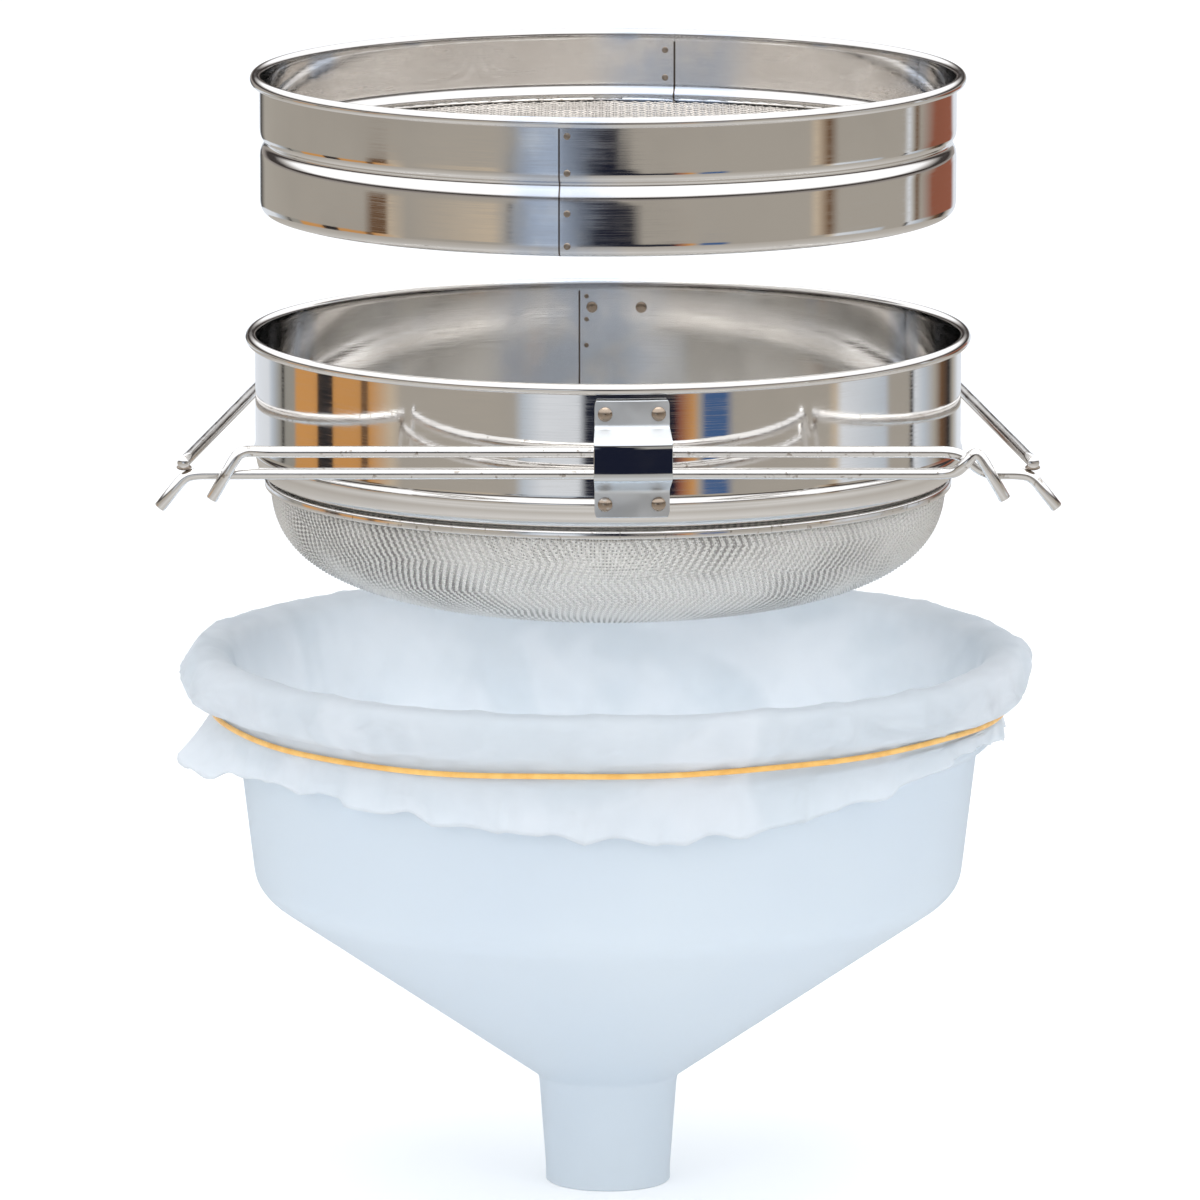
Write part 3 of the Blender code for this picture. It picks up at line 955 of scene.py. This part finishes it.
def strip(side, middle):
    """The folded guide: two tabs on the wall and a channel, with its corners rounded."""
    tab_r, channel_r, half, thick = 119.3, 125.35, 5.85, 0.9
    line = rounded(
        [
            (tab_r, -5.6), (tab_r, -14.4), (channel_r, -18.4), (channel_r, -30.4), (tab_r, -34.6),
            (tab_r, -43.5),
        ],
        1.4,
        6,
    )
    section = outline(line, thick)
    z = section[:, 1]
    steps = 28
    points = []
    for k in range(steps + 1):
        share = -1 + 2 * k / steps
        for (r, h) in section:
            end = min(h - z.min(), z.max() - h)
            inset = 1.0 - 0.055 * max(0.0, 1 - end / 1.6) ** 2
            a = math.radians(middle + share * half * inset)
            points.append((r * math.cos(a), r * math.sin(a), h + LOWER_RIM_Z))
    rows = len(section)
    faces = []
    for k in range(steps):
        for j in range(rows):
            a, b = k * rows + j, k * rows + (j + 1) % rows
            faces.append((a, a + rows, b + rows, b))
    half_rows = rows // 2
    for k, turned_over in ((0, False), (steps, True)):
        for j in range(half_rows - 1):
            a = k * rows
            quad = (a + j, a + j + 1, a + rows - 2 - j, a + rows - 1 - j)
            faces.append(quad if not turned_over else quad[::-1])
    piece = mesh_piece(f"{side}_guide", points, faces, STRIP, "lower_sieve", 35)
    bevel = piece.modifiers.new("Eased edges", "BEVEL")
    bevel.width = 0.25 * MM
    bevel.segments = 2
    bevel.limit_method = "ANGLE"
    bevel.angle_limit = math.radians(50)
    stands_for(f"{side}_bracket")


def rivet(node):
    """A domed rivet on its CAD rivet's axis, with a low head inside the wall."""
    low, high = corners(node)
    middle = (low + high) / 2
    angle = math.atan2(middle.y, middle.x)
    face_r = LOWER_WALL_R - SHEET_T / 2
    profile = [(0.0, 4.1), (0.7, 4.05), (1.4, 3.85), (2.0, 3.5), (2.35, 3.15), (2.35, 3.0)]
    profile += [(1.2, 3.0), (1.2, -0.45), (1.9, -0.45), (1.85, -0.7), (1.4, -0.88)]
    profile += [(0.7, -0.94), (0.0, -0.95)]
    place = outward(math.degrees(angle), face_r, middle.z)
    piece = scattered(node + "_head", spun(profile, 24), [place], RIVET, "lower_sieve")
    stands_for(node)


# ---- sliding arms

ROD_Y = 120.8
HOOK_OUT = 4.1
HIGH_Z, LOW_Z = -21.9, -29.0
HOOK_TIP = (128.2, -36.8)
FOOT_TIP = (145.2, -40.2)


def foot(side):
    return [(side * 133.4, 0, LOW_Z), (side * 137.1, 0, LOW_Z - 1.0), (side * FOOT_TIP[0], 0, FOOT_TIP[1])]


def hook(side):
    return [(side * 120.2, HOOK_OUT, HIGH_Z - 0.9), (side * HOOK_TIP[0], HOOK_OUT, HOOK_TIP[1])]


def left_arm_route():
    rise = [
        (107.5, 0, LOW_Z), (112.2, HOOK_OUT * 0.45, LOW_Z + 0.7),
        (115.0, HOOK_OUT, LOW_Z + 3.6), (118.2, HOOK_OUT, HIGH_Z + 0.5),
    ]
    return foot(-1)[::-1] + rise + hook(1)


def right_arm_route():
    jog = [(124.5, 0, LOW_Z), (120.5, 0, LOW_Z + 0.9), (114.0, 0, HIGH_Z - 0.9), (109.5, 0, HIGH_Z)]
    turn = [
        (-110.5, 0, HIGH_Z),
        (-115.4, HOOK_OUT * 0.25, HIGH_Z + 0.4),
        (-118.6, HOOK_OUT * 0.85, HIGH_Z + 0.6),
    ]
    return foot(1)[::-1] + jog + turn + hook(-1)


def arm(side, route):
    name = "left_arm" if side < 0 else "right_arm"
    front = corner(f"{name}_front_rod", 0 if side < 0 else 1).x
    rear = corner(f"{name}_rear_rod", 0 if side < 0 else 1).x
    inset = abs(front) - abs(rear)
    for end, sign, shorter in (("front", -1, 0.0), ("rear", 1, inset)):
        points = [
            (x - math.copysign(shorter, x), sign * (ROD_Y + out), z + LOWER_RIM_Z) for x, out, z in route
        ]
        node = f"{name}_{end}_rod"
        piece = tube(node + "_wire", rounded(points, 3.2, 6), ROD_R, WIRE, name)
        stands_for(node)
    node = f"{name}_cross_bar"
    low, high = corners(node)
    z = (low.z + high.z) / 2
    front_x, rear_x = side * 137.4, side * (137.4 - inset)
    half = 123.2
    ends = [Vector((front_x, -half, z)), Vector((rear_x, half, z))]
    route = [ends[0].lerp(ends[1], t / 24) for t in range(25)]
    piece = tube(node + "_wire", route, ROD_R, WIRE, name)
    stands_for(node)
    places = []
    for end, y in zip(ends, (-ROD_Y, ROD_Y)):
        share = (y - ends[0].y) / (ends[1].y - ends[0].y)
        spot = ends[0].lerp(ends[1], share)
        places.append(Matrix.Translation((spot.x, y, z - ROD_R + 0.2)))
    piece = scattered(f"{name}_bar_welds", bead(2.5, 1.0), places, WELD, name)


# ---- funnel, cloth and band


def funnel():
    line = [
        (136.2, 179.7), (129.5, 179.7), (128.3, 178.4), (128.3, 154.6), (127.1, 153.0),
        (122.8, 151.2), (121.95, 146.0), (117.3, 106.5), (116.0, 103.2), (113.0, 99.8),
        (22.6, 37.6), (21.9, 35.2), (19.65, 5.0), (19.65, 0.5),
    ]
    smooth = rounded(line, 2.6, 6)
    piece = turned("funnel_moulding", outline(smooth, 2.5, 0.2), 0.0, MILKY, "funnel", crease_deg=50)
    stands_for("funnel_body")


def wave(angle, parts):
    """A sum of cosines round the axis: (count, size, phase in degrees)."""
    return sum(
        size * math.cos(count * math.radians(angle) + math.radians(phase))
        for count, size, phase in parts
    )


def near(angle, centre, width):
    """1 at an angle and 0 a width away, smoothly."""
    away = abs((angle - centre + 180) % 360 - 180) / width
    return 0.5 + 0.5 * math.cos(math.pi * away) if away < 1 else 0.0


CREASE_ROLL, CREASE_BAG, CREASE_SKIRT = 4.2, 2.2, 1.2  # mm; the bag's creases stand inwards
CREST_DIP = 1.3  # mm that the cloth sinks between its creases, clear of the funnel's lip

# The skirt below the band: how far it hangs and how widely it stands out, by angle
SKIRT_ANGLES = [-180, -168, -157, -140, -122, -100, -84, -69, -62, -50, -35, -21, 0, 40, 90, 140, 180]
SKIRT_LENGTHS = [13, 17, 11, 13, 16, 21, 22, 22, 20, 13, 8, 6, 9, 14, 17, 15, 13]
SKIRT_FLARES = [1.0, 1.3, 0.7, 0.5, 0.45, 0.5, 0.5, 0.45, 0.4, 0.6, 0.3, 0.3, 0.5, 0.8, 0.8, 0.9, 1.0]


def crease(x, y, z):
    """0 to 1, highest along crisp ridges, at a place in mm."""
    broad = 1 - min(1.0, 2.4 * abs(noise.noise(Vector((x, y, z)) / 34.0)))
    fine = 1 - min(1.0, 2.4 * abs(noise.noise(Vector((x, z, y)) / 15.0)))
    return 0.72 * broad**2 + 0.28 * fine**2


def cloth():
    """The bag, the roll over the lip, and the skirt below the band, with its folds."""
    line = [
        (0.6, 112.0), (30.0, 112.4), (64.0, 114.0), (101.0, 123.5), (116.0, 140.0), (122.5, 163.0),
        (125.4, 176.0), (126.6, 181.6), (131.5, 184.0), (135.0, 184.5), (139.5, 182.6),
        (140.5, 176.0), (136.0, 169.5), (131.3, 165.5), (131.3, 159.5), (136.5, 153.0),
        (141.5, 145.0),
    ]
    profile = np.array([(p[0], p[1]) for p in rounded([(a, b, 0) for a, b in line], 6.0, 6)], float)
    steps = np.concatenate([[0.0], np.cumsum(np.linalg.norm(np.diff(profile, axis=0), axis=1))])
    rows = 116
    s = np.linspace(0, steps[-1], rows)
    r, z = np.interp(s, steps, profile[:, 0]), np.interp(s, steps, profile[:, 1])
    band_s = steps[np.argmin(np.abs(profile[:, 1] - 162.5) + (profile[:, 0] < 128) * 99)]
    lip_s = steps[np.argmax(profile[:, 1])]
    count = 320
    points = np.zeros((count, rows, 3))
    skirt = np.clip((s - band_s) / (s[-1] - band_s), 0, 1)
    roll = np.sin(np.pi * np.clip((s - lip_s) / (band_s - lip_s), 0, 1))
    pinch = np.exp(-(((s - band_s) / 7.0) ** 2)) * np.clip(np.abs(s - band_s) / 2.5, 0, 1)
    sag = np.sin(np.pi * np.clip((s - 12) / (lip_s - 22), 0, 1))
    crest = np.exp(-(((s - lip_s) / 9.0) ** 2))
    for k in range(count):
        angle = -180 + 360 * k / count
        pleat = wave(angle, [(23, 0.5, 40), (31, 0.5, 10), (47, 0.3, 70), (9, 0.5, 20)])
        slow = wave(angle, [(3, 0.6, 30), (5, 0.5, 80), (7, 0.3, 200)])
        gather = wave(angle, [(6, 0.8, 15), (11, 0.7, 100), (17, 0.4, 60)])
        length = np.interp(angle, SKIRT_ANGLES, SKIRT_LENGTHS) + 0.8 * pleat
        flare = np.interp(angle, SKIRT_ANGLES, SKIRT_FLARES)
        puff = 4.0 * near(angle, 180, 55) + 1.0 * near(angle, 5, 40) - 1.6 * near(angle, -90, 60)
        tuck = wave(angle, [(41, 0.5, 0), (67, 0.5, 130), (97, 0.35, 50)])
        out = roll * (puff + 0.6 * pleat + 0.5 * slow) - sag * 2.2 * gather
        out += pinch * 0.45 * tuck
        out += skirt * (10.2 * (flare - 1) + flare * (1.5 * pleat + slow))
        drop = -skirt * (length - 17.7) + sag * (1.5 * slow + 1.2 * gather)
        drop += roll * 0.35 * puff
        rr, zz = r + out, z + drop
        a = math.radians(angle)
        ridge = np.array([crease(q * math.cos(a), q * math.sin(a), h) for q, h in zip(rr, zz)])
        rr += ridge * (CREASE_ROLL * roll - CREASE_BAG * sag + CREASE_SKIRT * skirt)
        zz -= CREST_DIP * crest * (1 - ridge)
        points[k, :, 0], points[k, :, 1], points[k, :, 2] = rr * math.cos(a), rr * math.sin(a), zz
    flat = points.reshape(-1, 3)
    i, j = np.meshgrid(np.arange(count), np.arange(rows - 1), indexing="ij")
    i2 = (i + 1) % count
    quads = [i * rows + j, i2 * rows + j, i2 * rows + j + 1, i * rows + j + 1]
    faces = np.stack(quads, axis=-1).reshape(-1, 4)
    piece = mesh_piece("filter_cloth_sheet", flat, faces[:, ::-1], NYLON, "funnel", None)
    held = np.tile((np.abs(s - band_s) < 2.2) | (s < lip_s + 3.0), (count, 1))
    held[: count // 24] |= s > band_s  # a stiff corner that stands out on the left
    settle(piece, held.ravel(), bpy.data.objects["funnel_moulding"])
    thick = piece.modifiers.new("Thickness", "SOLIDIFY")
    thick.thickness = 0.3 * MM
    thick.offset = 0
    stands_for("filter_cloth")


CLOTH_SETTINGS = {
    "quality": 5, "mass": 0.03, "tension_stiffness": 12.0, "compression_stiffness": 12.0,
    "shear_stiffness": 4.0, "bending_stiffness": 0.05, "air_damping": 3.0,
}


def settle(piece, held, under, frames=16):
    """Lets the cloth hang from its band and from the funnel's lip, then keeps that shape."""
    scene = bpy.context.scene
    group = piece.vertex_groups.new(name="held")
    group.add(np.flatnonzero(held).tolist(), 1.0, "REPLACE")
    under.modifiers.new("Collision", "COLLISION")
    under.collision.thickness_outer = 0.0008
    under.collision.cloth_friction = 20.0
    cloth_physics = piece.modifiers.new("Cloth", "CLOTH")
    for name, value in CLOTH_SETTINGS.items():
        setattr(cloth_physics.settings, name, value)
    cloth_physics.settings.vertex_group_mass = "held"
    cloth_physics.collision_settings.distance_min = 0.0006
    cloth_physics.collision_settings.collision_quality = 2
    cloth_physics.point_cache.frame_start = 1
    cloth_physics.point_cache.frame_end = frames
    for frame_number in range(1, frames + 1):
        scene.frame_set(frame_number)
    shaped = piece.evaluated_get(bpy.context.evaluated_depsgraph_get())
    places = np.empty(len(piece.data.vertices) * 3, np.float32)
    shaped.data.vertices.foreach_get("co", places)
    piece.modifiers.remove(cloth_physics)
    under.modifiers.remove(under.modifiers["Collision"])
    piece.vertex_groups.remove(group)
    piece.data.vertices.foreach_set("co", places)
    piece.data.update()
    scene.frame_set(1)


def band_of_elastic():
    low, high = corners("elastic_band")
    middle, radius = (low.z + high.z) / 2, high.x - 0.9
    count, sides = 360, 10
    points = []
    for k in range(count):
        angle = -180 + 360 * k / count
        a = math.radians(angle)
        dip = 1.7 * near(angle, -48, 50) - 0.8 * near(angle, -130, 50)
        dip += wave(angle, [(5, 0.3, 100), (11, 0.15, 0)])
        out = 0.3 * wave(angle, [(7, 0.6, 50), (13, 0.4, 0)])
        for m in range(sides):
            turn = math.tau * m / sides
            r = radius + out + 0.75 * math.cos(turn)
            points.append((r * math.cos(a), r * math.sin(a), middle + dip + 0.95 * math.sin(turn)))
    piece = mesh_piece("elastic_cord", points, ring_faces(sides, count), ELASTIC, "funnel", None)
    stands_for("elastic_band")


# ---- the scene

bpy.context.scene.view_settings.view_transform = "Standard"
camera()
world()
stage()
cards()
area_light("overhead", (0.0, -0.3, 2.6), (0, 0, 0.2), (2.4, 2.4), 22)
area_light("front_left", (-2.2, -2.6, 1.5), (0, 0, 0.2), (1.6, 1.6), 16, seen_in_metal=False)
area_light("front_right", (2.4, -2.2, 1.3), (0, 0, 0.2), (1.6, 1.6), 12, seen_in_metal=False)
area_light("into_the_bag", (0.0, 0.0, 0.194), (0, 0, 0), (0.16, 0.16), 0.15, seen_in_metal=False)

WIRE = drawn_wire("wire_steel")
RIVET = drawn_wire("rivet_steel", (0.42, 0.34, 0.27), 0.22)
STRIP = guide_steel()
WELD = weld_steel()
MESH = wire_with_painted_moire("fine_mesh_steel", (0.92, 0.91, 0.885), (0.36, 0.35, 0.335))
# The coarse mesh uses the drawn wire with its colour darkened: painted shade for where it lies down inside
# the upper sieve.
COARSE = drawn_wire("coarse_mesh_steel", (0.60, 0.56, 0.52), 0.3)
MILKY = milky_plastic()
NYLON = nylon()
ELASTIC = elastic()

funnel()
cloth()
band_of_elastic()
fine_sieve()
coarse_sieve()
